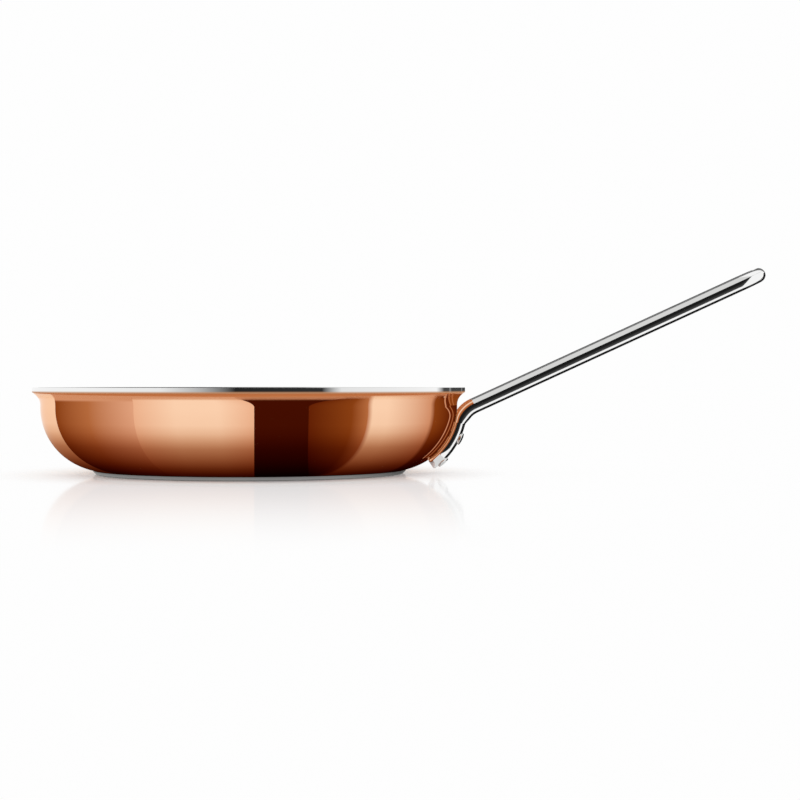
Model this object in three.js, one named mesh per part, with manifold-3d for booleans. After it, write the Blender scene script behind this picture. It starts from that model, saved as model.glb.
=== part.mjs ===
// An open frying pan: a clad copper bowl on a magnetic base disc, with one steel rod bent into a
// loop as its handle and riveted to the wall. Millimetres, +Z up. The origin is the centre of the
// base on the cooktop, and the handle points along +X.

import * as THREE from 'three';
import { mergeVertices } from 'three/addons/utils/BufferGeometryUtils.js';
import Module from 'manifold-3d';

const wasm = await Module();
wasm.setup();

// Bowl, measured on the outside of the copper
const RIM_RADIUS = 140; // outer face of the rim band
const RIM_OVERHANG = 5.1; // how far the rim stands out from the neck
const FLARE_RADIUS = 9.1; // outward curl of the wall under the rim
const NECK_HEIGHT = 0.95; // upright stretch between the sweep and the flare
const WALL_SWEEP = 41.7; // curve from the flat bottom up to the neck
const FLAT_DEPTH = 0.75; // how far the flat bottom is pressed up into that curve

// Layers of the clad wall, from the outside in
const COPPER_THICKNESS = 0.8;
const CORE_THICKNESS = 1.2;
const LINER_THICKNESS = 0.8;
const BOND_GAP = 0.1; // bond line between neighbouring layers
const LIP_THICKNESS = 0.8; // liner turned down over the edges of the other layers
const LIP_HEIGHT = 3.4;

// Base disc
const BASE_THICKNESS = 2.6;
const BASE_RADIUS = 101.5; // upper edge
const BASE_FOOT_RADIUS = 99.5; // flat underside, inside the bevel
const BASE_LAND = 0.6; // upright part of the edge above the bevel

// Handle
const ROD_DIAMETER = 9.2;
const LEG_SPACING = 32; // between the centrelines of the two legs
const HANDLE_RISE = THREE.MathUtils.degToRad(24.65); // slope of the straight stretch
const STRAIGHT_LENGTH = 188.4;
const BEND_RADIUS = 17; // where a leg turns away from the wall, on the centreline
const LEAVE_ANGLE = THREE.MathUtils.degToRad(14); // below the neck, where a leg leaves the wall
const LEG_THICKNESS = 6.8; // pressed flat along the wall
const LEG_WIDTH = 10.6;
const PRESS_RUNOUT = 7; // from the pressed section back to the round one
const LEG_END_HEIGHT = 3.3; // lowest corner of a leg above the cooktop
const SEAT_GAP = 0.3; // between the legs or rivet heads and what they sit on

// Rivets
const SHANK_DIAMETER = 5;
const SHANK_CLEARANCE = 0.2; // around the shank, in every hole
const HEAD_DIAMETER = 8;
const HEAD_HEIGHT = 1.4;
const INNER_HEAD_DIAMETER = 9;
const INNER_HEAD_HEIGHT = 1.5;
const HEAD_EDGE = 0.5; // upright edge of both heads
const RIVET_EDGE = 6.8; // from the cut end of a leg to the lower rivet, along the leg
const RIVET_PITCH = 17.4; // between the two rivets of a leg, along the leg

// Facets
const TURN_SEGMENTS = 48;
const SWEEP_STEPS = 8;
const FLARE_STEPS = 3;
const ROD_SIDES = 16;
const SEAT_STEPS = 9;
const BEND_STEPS = 9;
const LOOP_STEPS = 12;
const RIVET_SEGMENTS = 16;
const DOME_STEPS = 3;

// Places that follow from the sizes
const WALL_THICKNESS = COPPER_THICKNESS + CORE_THICKNESS + LINER_THICKNESS + 2 * BOND_GAP;
const CORE_DEPTH = COPPER_THICKNESS + BOND_GAP; // below the outer face of the copper
const LINER_DEPTH = CORE_DEPTH + CORE_THICKNESS + BOND_GAP;
const BOWL_BOTTOM = BASE_THICKNESS + BOND_GAP;
const NECK_RADIUS = RIM_RADIUS - RIM_OVERHANG;
const SWEEP_CENTRE = new THREE.Vector2(
  NECK_RADIUS - WALL_SWEEP,
  BOWL_BOTTOM - FLAT_DEPTH + WALL_SWEEP,
);
const FLARE_CENTRE = new THREE.Vector2(NECK_RADIUS + FLARE_RADIUS, SWEEP_CENTRE.y + NECK_HEIGHT);
const LAYER_EDGE = RIM_RADIUS - LIP_THICKNESS - BOND_GAP; // where copper and core end
const LEG_SWEEP = WALL_SWEEP + SEAT_GAP + LEG_THICKNESS / 2; // centreline of a leg on the wall
const LEG_FACE_SWEEP = LEG_SWEEP + LEG_THICKNESS / 2;
const LEG_END_ANGLE = Math.asin((SWEEP_CENTRE.y - LEG_END_HEIGHT) / LEG_FACE_SWEEP);
const LOWER_RIVET_ANGLE = LEG_END_ANGLE - RIVET_EDGE / LEG_SWEEP;
const UPPER_RIVET_ANGLE = LOWER_RIVET_ANGLE - RIVET_PITCH / LEG_SWEEP;
const FACET_SAG = NECK_RADIUS * (1 - Math.cos(Math.PI / TURN_SEGMENTS))
  + WALL_SWEEP * (1 - Math.cos(Math.PI / 4 / SWEEP_STEPS)); // a facet's depth inside the true curve

// A closed solid for cutting, from any closed geometry
function toSolid(geometry) {
  const bare = geometry.clone();
  bare.deleteAttribute('normal');
  bare.deleteAttribute('uv');
  const merged = mergeVertices(bare);
  const corners = Array.from(merged.index.array);
  const triangles = [];
  for (let i = 0; i < corners.length; i += 3) {
    const [a, b, c] = corners.slice(i, i + 3);
    if (a !== b && b !== c && c !== a) triangles.push(a, b, c);
  }
  const vertProperties = new Float32Array(merged.attributes.position.array);
  return new wasm.Manifold(
    new wasm.Mesh({ numProp: 3, vertProperties, triVerts: new Uint32Array(triangles) }),
  );
}

function toGeometry(solid) {
  const mesh = solid.getMesh();
  const geometry = new THREE.BufferGeometry();
  geometry.setAttribute('position', new THREE.BufferAttribute(new Float32Array(mesh.vertProperties), 3));
  geometry.setIndex(new THREE.BufferAttribute(new Uint32Array(mesh.triVerts), 1));
  geometry.computeVertexNormals();
  return geometry;
}

// A profile of radius and height, turned about the Z axis
function turned(profile, segments = TURN_SEGMENTS) {
  return new THREE.LatheGeometry(profile, segments).rotateX(Math.PI / 2);
}

// Points on an arc about a centre; angles run from the outward radius towards +Z
function arc(centre, radius, from, to, steps) {
  return Array.from({ length: steps + 1 }, (_, i) => {
    const angle = from + ((to - from) * i) / steps;
    return new THREE.Vector2(
      centre.x + radius * Math.cos(angle),
      centre.y + radius * Math.sin(angle),
    );
  });
}

// The face of the bowl at a depth below its outer side, from the axis out to a radius on the flare
function bowlFace(depth, edgeRadius) {
  const sweep = WALL_SWEEP - depth;
  const sweepStart = Math.asin((BOWL_BOTTOM + depth - SWEEP_CENTRE.y) / sweep);
  const flare = FLARE_RADIUS + depth;
  const flareEnd = Math.acos((edgeRadius - FLARE_CENTRE.x) / flare);
  return [
    new THREE.Vector2(0, BOWL_BOTTOM + depth),
    ...arc(SWEEP_CENTRE, sweep, sweepStart, 0, SWEEP_STEPS),
    ...arc(FLARE_CENTRE, flare, Math.PI, flareEnd, FLARE_STEPS),
  ];
}

function layer(depth, thickness) {
  const outside = bowlFace(depth, LAYER_EDGE);
  const inside = bowlFace(depth + thickness, LAYER_EDGE).reverse();
  return turned([...outside, ...inside]);
}

// The liner runs out over the other layers, and its lip covers their edges
function liner() {
  const outside = bowlFace(LINER_DEPTH, RIM_RADIUS - LIP_THICKNESS);
  const inside = bowlFace(LINER_DEPTH + LINER_THICKNESS, RIM_RADIUS).reverse();
  const lipBottom = inside[0].y - LIP_HEIGHT;
  const lip = [
    new THREE.Vector2(RIM_RADIUS - LIP_THICKNESS, lipBottom),
    new THREE.Vector2(RIM_RADIUS, lipBottom),
  ];
  return turned([...outside, ...lip, ...inside]);
}

function baseDisc() {
  return turned([
    new THREE.Vector2(0, 0),
    new THREE.Vector2(BASE_FOOT_RADIUS, 0),
    new THREE.Vector2(BASE_RADIUS, BASE_THICKNESS - BASE_LAND),
    new THREE.Vector2(BASE_RADIUS, BASE_THICKNESS),
    new THREE.Vector2(0, BASE_THICKNESS),
  ]);
}

// A point of a leg's centreline on the wall, at an angle below the neck, with the wall's normal there
function seatPoint(angle, side) {
  const radius = SWEEP_CENTRE.x + LEG_SWEEP * Math.cos(angle);
  const across = (side * LEG_SPACING) / 2;
  const along = Math.sqrt(radius ** 2 - across ** 2);
  const flat = Math.cos(angle) / radius;
  return {
    point: new THREE.Vector3(along, across, SWEEP_CENTRE.y - LEG_SWEEP * Math.sin(angle)),
    normal: new THREE.Vector3(flat * along, flat * across, -Math.sin(angle)),
    tangent: new THREE.Vector3(
      (radius / along) * Math.sin(angle), 0, Math.cos(angle),
    ).normalize(),
  };
}

// Stations of the right half of the rod, from the cut end of its leg to the middle of the loop.
// pressed is 1 where the section is flattened and 0 where it is round.
function rightHalf() {
  const stations = [];
  for (let i = 0; i <= SEAT_STEPS; i++) {
    const angle = LEG_END_ANGLE + ((LEAVE_ANGLE - LEG_END_ANGLE) * i) / SEAT_STEPS;
    stations.push({ ...seatPoint(angle, 1), pressed: 1 });
  }
  const leave = stations.at(-1);
  const steep = Math.atan2(leave.tangent.z, leave.tangent.x);
  const offset = (slope) => new THREE.Vector3(-Math.sin(slope), 0, Math.cos(slope));
  const bendCentre = leave.point.clone().addScaledVector(offset(steep), -BEND_RADIUS);
  for (let i = 1; i <= BEND_STEPS; i++) {
    const slope = steep + ((HANDLE_RISE - steep) * i) / BEND_STEPS;
    const travelled = BEND_RADIUS * (steep - slope);
    stations.push({
      point: bendCentre.clone().addScaledVector(offset(slope), BEND_RADIUS),
      normal: offset(slope).negate(),
      tangent: new THREE.Vector3(Math.cos(slope), 0, Math.sin(slope)),
      pressed: 1 - THREE.MathUtils.smoothstep(travelled, 0, PRESS_RUNOUT),
    });
  }
  const { point, normal, tangent } = stations.at(-1);
  const across = new THREE.Vector3(0, 1, 0);
  const loopCentre = point.clone().addScaledVector(tangent, STRAIGHT_LENGTH).setY(0);
  for (let i = 0; i <= LOOP_STEPS / 2; i++) {
    const turn = (Math.PI * i) / LOOP_STEPS;
    const outward = tangent.clone().multiplyScalar(Math.sin(turn)).addScaledVector(across, Math.cos(turn));
    stations.push({
      point: loopCentre.clone().addScaledVector(outward, LEG_SPACING / 2),
      normal: normal.clone(),
      tangent: tangent.clone().multiplyScalar(Math.cos(turn)).addScaledVector(across, -Math.sin(turn)),
      pressed: 0,
    });
  }
  return stations;
}

// The same station on the other leg, where the rod runs back towards the bowl
function mirrored({ point, normal, tangent, pressed }) {
  return {
    point: new THREE.Vector3(point.x, -point.y, point.z),
    normal: new THREE.Vector3(normal.x, -normal.y, normal.z),
    tangent: new THREE.Vector3(-tangent.x, tangent.y, -tangent.z),
    pressed,
  };
}

// One ring of the rod: a circle, with two flats across the wall's normal where the rod is pressed
function rodRing({ point, normal, tangent, pressed }) {
  const radius = THREE.MathUtils.lerp(ROD_DIAMETER, LEG_WIDTH, pressed) / 2;
  const half = THREE.MathUtils.lerp(ROD_DIAMETER, LEG_THICKNESS, pressed) / 2;
  const across = new THREE.Vector3().crossVectors(tangent, normal).normalize();
  return Array.from({ length: ROD_SIDES }, (_, i) => {
    const angle = (2 * Math.PI * i) / ROD_SIDES;
    const depth = THREE.MathUtils.clamp(radius * Math.cos(angle), -half, half);
    return point.clone().addScaledVector(normal, depth).addScaledVector(across, radius * Math.sin(angle));
  });
}

// The whole rod as rings joined along its path, closed by a flat face at each cut end
function rod() {
  const right = rightHalf();
  const left = right.slice(0, -1).reverse().map(mirrored);
  const stations = [...right, ...left];
  const positions = stations.flatMap((station) => rodRing(station).flatMap((p) => p.toArray()));
  const last = stations.length - 1;
  const at = (ring, i) => ring * ROD_SIDES + (i % ROD_SIDES);
  const index = [];
  for (let ring = 0; ring < last; ring++) {
    for (let i = 0; i < ROD_SIDES; i++) {
      index.push(at(ring, i), at(ring, i + 1), at(ring + 1, i + 1));
      index.push(at(ring, i), at(ring + 1, i + 1), at(ring + 1, i));
    }
  }
  for (let i = 1; i < ROD_SIDES - 1; i++) {
    index.push(at(0, 0), at(0, i + 1), at(0, i));
    index.push(at(last, 0), at(last, i), at(last, i + 1));
  }
  const geometry = new THREE.BufferGeometry();
  geometry.setAttribute('position', new THREE.Float32BufferAttribute(positions, 3));
  geometry.setIndex(index);
  return geometry;
}

// Where a rivet sits: on the outer face of a leg, its own Z axis along the wall's normal
function rivetPlace(angle, side) {
  const { point, normal } = seatPoint(angle, side);
  return {
    position: point.addScaledVector(normal, LEG_THICKNESS / 2),
    quaternion: new THREE.Quaternion().setFromUnitVectors(new THREE.Vector3(0, 0, 1), normal),
  };
}

// A low dome as profile points from its edge to its crown
function dome(radius, height) {
  return Array.from({ length: DOME_STEPS + 1 }, (_, i) => {
    const angle = (Math.PI / 2) * (i / DOME_STEPS);
    return new THREE.Vector2(
      radius * Math.cos(angle),
      HEAD_EDGE + (height - HEAD_EDGE) * Math.sin(angle),
    );
  });
}

// A rivet about its own axis, from the head inside the bowl to the head on the leg. The inner head
// is hollowed at its edge by as much as the wall curves away under it.
function rivet() {
  const innerFace = -(LEG_THICKNESS + SEAT_GAP + WALL_THICKNESS + FACET_SAG + SEAT_GAP);
  const innerRadius = INNER_HEAD_DIAMETER / 2;
  const innerSweep = WALL_SWEEP - WALL_THICKNESS;
  const dish = innerSweep - Math.sqrt(innerSweep ** 2 - innerRadius ** 2);
  const shank = SHANK_DIAMETER / 2;
  const innerDome = dome(innerRadius, INNER_HEAD_HEIGHT).reverse();
  const outerDome = dome(HEAD_DIAMETER / 2, HEAD_HEIGHT);
  return turned([
    ...innerDome.map((p) => new THREE.Vector2(Math.max(p.x, 0), innerFace - dish - p.y)),
    new THREE.Vector2(innerRadius, innerFace - dish),
    new THREE.Vector2(shank, innerFace),
    new THREE.Vector2(shank, SEAT_GAP),
    new THREE.Vector2(HEAD_DIAMETER / 2, SEAT_GAP),
    ...outerDome.map((p) => new THREE.Vector2(p.x, SEAT_GAP + p.y)),
  ], RIVET_SEGMENTS);
}

const RIVET_PLACES = {
  rivet_upper_left: rivetPlace(UPPER_RIVET_ANGLE, -1),
  rivet_upper_right: rivetPlace(UPPER_RIVET_ANGLE, 1),
  rivet_lower_left: rivetPlace(LOWER_RIVET_ANGLE, -1),
  rivet_lower_right: rivetPlace(LOWER_RIVET_ANGLE, 1),
};

// Cuts the four rivet holes through a piece, along the rivets' own axes
function drilled(geometry) {
  const reach = LEG_THICKNESS + SEAT_GAP + WALL_THICKNESS;
  const holeRadius = SHANK_DIAMETER / 2 + SHANK_CLEARANCE;
  let solid = toSolid(geometry);
  for (const { position, quaternion } of Object.values(RIVET_PLACES)) {
    const drill = new THREE.CylinderGeometry(holeRadius, holeRadius, 2 * reach, RIVET_SEGMENTS)
      .rotateX(Math.PI / 2)
      .translate(0, 0, -reach / 2)
      .applyQuaternion(quaternion)
      .translate(...position.toArray());
    solid = solid.subtract(toSolid(drill));
  }
  return toGeometry(solid);
}

// Finishes, from the photograph
const copper = { color: 0xc9804f, roughness: 0.08, metalness: 1 };
const aluminium = { color: 0xb9bcc0, roughness: 0.45, metalness: 1 };
const satinSteel = { color: 0xc6c6c4, roughness: 0.28, metalness: 1 };
const polishedSteel = { color: 0xd2d2d0, roughness: 0.1, metalness: 1 };
const magneticSteel = { color: 0x8e8f8d, roughness: 0.35, metalness: 1 };

function piece(name, geometry, finish) {
  const mesh = new THREE.Mesh(geometry, new THREE.MeshStandardMaterial(finish));
  mesh.name = name;
  return mesh;
}

const bowl = new THREE.Group();
bowl.add(
  piece('copper_shell', drilled(layer(0, COPPER_THICKNESS)), copper),
  piece('aluminium_core', drilled(layer(CORE_DEPTH, CORE_THICKNESS)), aluminium),
  piece('steel_liner', drilled(liner()), satinSteel),
  piece('base_disc', baseDisc(), magneticSteel),
);

const grip = new THREE.Group();
grip.add(piece('handle', drilled(rod()), polishedSteel));
for (const [name, { position, quaternion }] of Object.entries(RIVET_PLACES)) {
  const mesh = piece(name, rivet(), polishedSteel);
  mesh.position.copy(position);
  mesh.quaternion.copy(quaternion);
  grip.add(mesh);
}

const pan = new THREE.Group();
pan.add(bowl, grip);

export default pan;
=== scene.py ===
"""An open copper frying pan with a looped rod handle, standing on a white studio table."""

import bpy
import numpy as np
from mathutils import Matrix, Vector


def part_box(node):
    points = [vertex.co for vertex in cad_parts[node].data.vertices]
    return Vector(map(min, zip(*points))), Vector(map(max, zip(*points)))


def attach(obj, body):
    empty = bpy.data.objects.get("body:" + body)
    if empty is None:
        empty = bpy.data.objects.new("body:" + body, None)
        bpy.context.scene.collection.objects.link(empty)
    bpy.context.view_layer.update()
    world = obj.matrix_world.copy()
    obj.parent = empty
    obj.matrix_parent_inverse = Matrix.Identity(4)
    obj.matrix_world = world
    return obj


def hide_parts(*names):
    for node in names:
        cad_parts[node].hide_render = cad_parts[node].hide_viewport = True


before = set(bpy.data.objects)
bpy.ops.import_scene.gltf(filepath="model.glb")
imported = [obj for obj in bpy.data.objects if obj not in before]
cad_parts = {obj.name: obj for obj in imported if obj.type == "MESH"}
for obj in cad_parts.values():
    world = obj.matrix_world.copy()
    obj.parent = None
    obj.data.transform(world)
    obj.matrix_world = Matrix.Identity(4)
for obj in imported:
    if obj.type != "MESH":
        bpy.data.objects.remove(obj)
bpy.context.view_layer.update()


# Base disc: a plate of magnetic stainless steel, brazed under the bowl so that the pan works on an
# induction cooktop. Turned on a lathe, which leaves fine rings, and bevelled round its edge. The top
# of its edge is painted near black: the brazed seam, and painted shade in the crease under the bowl.

MM = 0.001  # sizes are in millimetres and meshes in metres
BASE_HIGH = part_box("base_disc")[1]
BASE_RADIUS = BASE_HIGH.x / MM
BASE_THICKNESS = BASE_HIGH.z / MM
BASE_FOOT_RADIUS = 99.5
BASE_LAND = 0.6
BASE_ROUNDINGS = (0.3, 0.5, 0.15)
BASE_GREY = (0.44, 0.44, 0.43, 1)
BASE_DARK_GREY = (0.37, 0.37, 0.365, 1)
BASE_ROUGHNESS = (0.36, 0.48)
# near black on top of the base's edge: the brazed seam together with painted shade under the bowl
SEAM_SHADE_FROM, SEAM_SHADE_TO = 2.4, 2.55
SEAM_SHADE_BROWN = (0.02, 0.014, 0.011, 1)
MARK_DARK, MARK_LIGHT = 0.25, 0.75


def rounded_outline(corners, radii, steps=8, margin=0.05):
    """Outline through corners of (radius, height). Each inner corner gives way to the arc of its own
    radius that touches both sides, with a point a margin before and after the arc, so that the
    sides beside it stay flat when they are shaded smooth."""
    corners = np.array(corners, float)
    stretches = [corners[:1]]
    for before, corner, after, radius in zip(corners, corners[1:], corners[2:], radii):
        into = (corner - before) / np.linalg.norm(corner - before)
        out = (after - corner) / np.linalg.norm(after - corner)
        turn = np.arctan2(into[0] * out[1] - into[1] * out[0], into @ out)
        start = corner - into * radius * np.tan(abs(turn) / 2)
        inward = np.sign(turn) * np.array([-into[1], into[0]])
        angle = np.linspace(0, abs(turn), steps + 1)[:, None]
        arc = start + radius * (into * np.sin(angle) + inward * (1 - np.cos(angle)))
        stretches += [start - into * margin, arc, arc[-1] + out * margin]
    return np.vstack([*stretches, corners[-1:]])


def closed_skin(rings, first_pole, last_pole):
    """Points and faces of a closed surface: each ring of points is joined to the next by four-sided
    faces, and the first and last rings are closed by triangles that meet in a pole."""
    here = np.arange(rings.shape[0] * rings.shape[1]).reshape(rings.shape[:2])
    beside = np.roll(here, -1, axis=1)
    quads = np.stack([here[:-1], beside[:-1], beside[1:], here[1:]], axis=-1).reshape(-1, 4)
    first = np.stack([np.full_like(here[0], here.size), beside[0], here[0]], axis=-1)
    last = np.stack([np.full_like(here[0], here.size + 1), here[-1], beside[-1]], axis=-1)
    points = np.vstack([rings.reshape(-1, 3), first_pole, last_pole])
    return points, quads.tolist() + first.tolist() + last.tolist()


def turned(profile, turns=192):
    """Closed surface of a profile of (radius, height) points spun about the Z axis: ring i, point j
    is profile point i at share j of a full turn. The profile runs from the axis below, out and back
    to the axis above, and its two ends become the poles."""
    radius, height = profile[1:-1].T
    angle = np.linspace(0, 2 * np.pi, turns, endpoint=False)
    rings = np.stack([
        np.outer(radius, np.cos(angle)), np.outer(radius, np.sin(angle)),
        np.outer(height, np.ones(turns)),
    ], axis=-1)
    return closed_skin(rings, (0, 0, profile[0, 1]), (0, 0, profile[-1, 1]))


def smooth_piece(name, points, faces, material):
    """A smooth mesh object at the origin, from points in millimetres."""
    mesh = bpy.data.meshes.new(name)
    mesh.from_pydata(points * MM, [], faces)
    mesh.shade_smooth()
    mesh.materials.append(material)
    made = bpy.data.objects.new(name, mesh)
    bpy.context.scene.collection.objects.link(made)
    return made


def add_node(tree, kind, inputs=(), **settings):
    """Adds a shader node with its settings, and gives each named input a value or a link."""
    made = tree.nodes.new(kind)
    for key, value in settings.items():
        setattr(made, key, value)
    for key, value in dict(inputs).items():
        if isinstance(value, bpy.types.NodeSocket):
            tree.links.new(value, made.inputs[key])
        else:
            made.inputs[key].default_value = value
    return made


def new_group(name, inputs, outputs):
    """An empty shader node group with its input and output nodes, and sockets of the given kinds."""
    group = bpy.data.node_groups.new(name, "ShaderNodeTree")
    for in_out, sockets in (("INPUT", inputs), ("OUTPUT", outputs)):
        for socket, kind in sockets.items():
            group.interface.new_socket(socket, in_out=in_out, socket_type="NodeSocket" + kind)
    return group, group.nodes.new("NodeGroupInput").outputs, group.nodes.new("NodeGroupOutput").inputs


def distance_from_axis(tree, place):
    """How far a place lies from the Z axis."""
    level = add_node(tree, "ShaderNodeVectorMath", {0: place, 1: (1, 1, 0)}, operation="MULTIPLY")
    length = add_node(tree, "ShaderNodeVectorMath", {0: level.outputs[0]}, operation="LENGTH")
    return length.outputs["Value"]


def make_spun_marks():
    """Node group for spun metal. Rings is noise along the way across the turned surface, which is
    radius plus height, counted in pitches. Cloud is soft noise of a given size all over."""
    group, given, put_out = new_group(
        "spun_marks",
        {"Position": "Vector", "Pitch": "Float", "Cloud Size": "Float"},
        {"Rings": "Float", "Cloud": "Float"},
    )
    radius = distance_from_axis(group, given["Position"])
    parts = add_node(group, "ShaderNodeSeparateXYZ", {0: given["Position"]})
    way = add_node(group, "ShaderNodeMath", {0: radius, 1: parts.outputs["Z"]})
    pitches = add_node(group, "ShaderNodeMath", {0: way.outputs[0], 1: given["Pitch"]},
                       operation="DIVIDE")
    rings = add_node(group, "ShaderNodeTexNoise", {"W": pitches.outputs[0], "Scale": 1, "Detail": 2},
                     noise_dimensions="1D")
    sizes = add_node(group, "ShaderNodeVectorMath", {0: given["Position"], 1: given["Cloud Size"]},
                     operation="DIVIDE")
    cloud = add_node(group, "ShaderNodeTexNoise",
                     {"Vector": sizes.outputs[0], "Scale": 1, "Detail": 3, "Roughness": 0.55})
    group.links.new(rings.outputs[0], put_out["Rings"])
    group.links.new(cloud.outputs[0], put_out["Cloud"])
    return group


spun_marks = make_spun_marks()


def new_metal(name):
    """A metal with its own Principled shader."""
    material = bpy.data.materials.new(name)
    material.use_nodes = True
    tree = material.node_tree
    shader = tree.nodes["Principled BSDF"]
    shader.inputs["Metallic"].default_value = 1
    return material, tree, shader


def object_place(tree):
    """A point of the surface in the pan's own coordinates."""
    return add_node(tree, "ShaderNodeTexCoord").outputs["Object"]


def place_spun_marks(tree, place, pitch, cloud_size):
    """The rings and the cloud of the spun marks, at a pitch and a size in millimetres."""
    marks = add_node(tree, "ShaderNodeGroup", node_tree=spun_marks)
    tree.links.new(place, marks.inputs["Position"])
    marks.inputs["Pitch"].default_value = pitch * MM
    marks.inputs["Cloud Size"].default_value = cloud_size * MM
    return marks.outputs["Rings"], marks.outputs["Cloud"]


def spread(tree, value, low, high):
    """A value running from low to high as a mark runs from its dark end to its light end."""
    ranged = add_node(tree, "ShaderNodeMapRange",
                      {"Value": value, "From Min": MARK_DARK, "From Max": MARK_LIGHT,
                       "To Min": low, "To Max": high})
    return ranged.outputs["Result"]


def fade(tree, value, start, end):
    """A mask that rises softly from 0 to 1 as a length runs from a start to an end in millimetres."""
    return add_node(tree, "ShaderNodeMapRange",
                    {"Value": value, "From Min": start * MM, "From Max": end * MM},
                    interpolation_type="SMOOTHSTEP").outputs["Result"]


def blend_colours(tree, value, first, second):
    """A colour running from a first one to a second with a mark or a mask."""
    return add_node(tree, "ShaderNodeMix", {"Factor": value, 6: first, 7: second},
                    data_type="RGBA").outputs[2]


def ridge(tree, shader, height, depth):
    """Bumps a shader's normal by a mark's height, from the bottom to the top of a depth."""
    bump = add_node(tree, "ShaderNodeBump", {"Height": height, "Distance": depth * MM})
    tree.links.new(bump.outputs[0], shader.inputs["Normal"])


base_metal, tree, shader = new_metal("turned_base_steel")
place = object_place(tree)
height = add_node(tree, "ShaderNodeSeparateXYZ", {0: place}).outputs["Z"]
rings, cloud = place_spun_marks(tree, place, pitch=0.8, cloud_size=30)
greys = blend_colours(tree, cloud, BASE_DARK_GREY, BASE_GREY)
# painted shade with the seam: near black along the top of the base's edge, in the crease under the bowl
seam_shade = fade(tree, height, SEAM_SHADE_FROM, SEAM_SHADE_TO)
tree.links.new(blend_colours(tree, seam_shade, greys, SEAM_SHADE_BROWN), shader.inputs["Base Color"])
tree.links.new(spread(tree, rings, *BASE_ROUGHNESS), shader.inputs["Roughness"])
ridge(tree, shader, rings, depth=0.015)

base_outline = rounded_outline(
    [(0, 0), (BASE_FOOT_RADIUS, 0), (BASE_RADIUS, BASE_THICKNESS - BASE_LAND),
     (BASE_RADIUS, BASE_THICKNESS), (0, BASE_THICKNESS)],
    BASE_ROUNDINGS,
)
turned_base = smooth_piece("turned_base", *turned(base_outline), base_metal)
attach(turned_base, "root")
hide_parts("base_disc")


# Copper shell: the outer skin of the bowl, spun from sheet and polished to a mirror. Its flared top
# is left satin where the polishing wheel can't reach, and a painted shade darkens it a little just under
# the lip.

BOND_GAP = 0.1
RIM_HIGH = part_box("steel_liner")[1]
RIM_RADIUS = RIM_HIGH.x / MM
RIM_HEIGHT = RIM_HIGH.z / MM
RIM_OVERHANG = 5.1
FLARE_RADIUS = 9.1
NECK_HEIGHT = 0.95
WALL_SWEEP = 41.7
FLAT_DEPTH = 0.75
BOWL_BOTTOM = BASE_THICKNESS + BOND_GAP
NECK_RADIUS = RIM_RADIUS - RIM_OVERHANG
SWEEP_RADIUS, SWEEP_HEIGHT = NECK_RADIUS - WALL_SWEEP, BOWL_BOTTOM - FLAT_DEPTH + WALL_SWEEP
FLARE_START = SWEEP_HEIGHT + NECK_HEIGHT
LIP_THICKNESS = 0.8
LAYER_EDGE = RIM_RADIUS - LIP_THICKNESS - BOND_GAP
COPPER_THICKNESS = 0.8
SWEEP_STATIONS, FLARE_STATIONS = 49, 25
FLAT_MARGIN = 1
COPPER = (0.97, 0.64, 0.43, 1)
COPPER_WARM = (0.96, 0.61, 0.40, 1)
COPPER_EDGE = (0.97, 0.80, 0.68, 1)
COPPER_ROUGHNESS = (0.02, 0.05)
SATIN_COPPER = (0.93, 0.58, 0.36, 1)
SATIN_FROM, SATIN_TO = 48.2, 49.8
SATIN_ROUGHNESS = 0.28
# painted shade under the lip: the copper a little darker there
UNDER_LIP_SHADE = (0.85, 0.54, 0.35, 1)
UNDER_LIP_SHADE_FROM, UNDER_LIP_SHADE_TO = 51.0, 51.7


def bowl_face(depth, edge):
    """One face of the clad bowl, at a depth below its outside, as (radius, height) points from the
    axis out to an edge radius: a flat bottom, the sweep up the wall as an arc that starts where it
    meets the flat, a short upright neck, and the flare as an arc that bends the other way."""
    sweep, flare = WALL_SWEEP - depth, FLARE_RADIUS + depth
    start = np.arcsin((BOWL_BOTTOM + depth - SWEEP_HEIGHT) / sweep)
    end = np.arccos((edge - NECK_RADIUS - FLARE_RADIUS) / flare)
    flat_end = SWEEP_RADIUS + sweep * np.cos(start)
    rise = np.linspace(start, 0, SWEEP_STATIONS)
    bend = np.linspace(np.pi, end, FLARE_STATIONS)
    return np.vstack([
        [[0, BOWL_BOTTOM + depth], [flat_end - FLAT_MARGIN, BOWL_BOTTOM + depth]],
        np.stack([SWEEP_RADIUS + sweep * np.cos(rise), SWEEP_HEIGHT + sweep * np.sin(rise)], axis=-1),
        np.stack([NECK_RADIUS + FLARE_RADIUS + flare * np.cos(bend), FLARE_START + flare * np.sin(bend)],
                 axis=-1),
    ])


def clad_layer(depth, thickness):
    """A layer of the bowl between two of its faces, closed at the top by the layer's cut edge."""
    return turned(np.vstack([
        bowl_face(depth, LAYER_EDGE), bowl_face(depth + thickness, LAYER_EDGE)[::-1],
    ]))


copper_metal, tree, shader = new_metal("polished_copper")
place = object_place(tree)
height = add_node(tree, "ShaderNodeSeparateXYZ", {0: place}).outputs["Z"]
rings, cloud = place_spun_marks(tree, place, pitch=0.5, cloud_size=45)
satin = fade(tree, height, SATIN_FROM, SATIN_TO)
polished = blend_colours(tree, cloud, COPPER_WARM, COPPER)
flared = blend_colours(tree, satin, polished, SATIN_COPPER)
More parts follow.
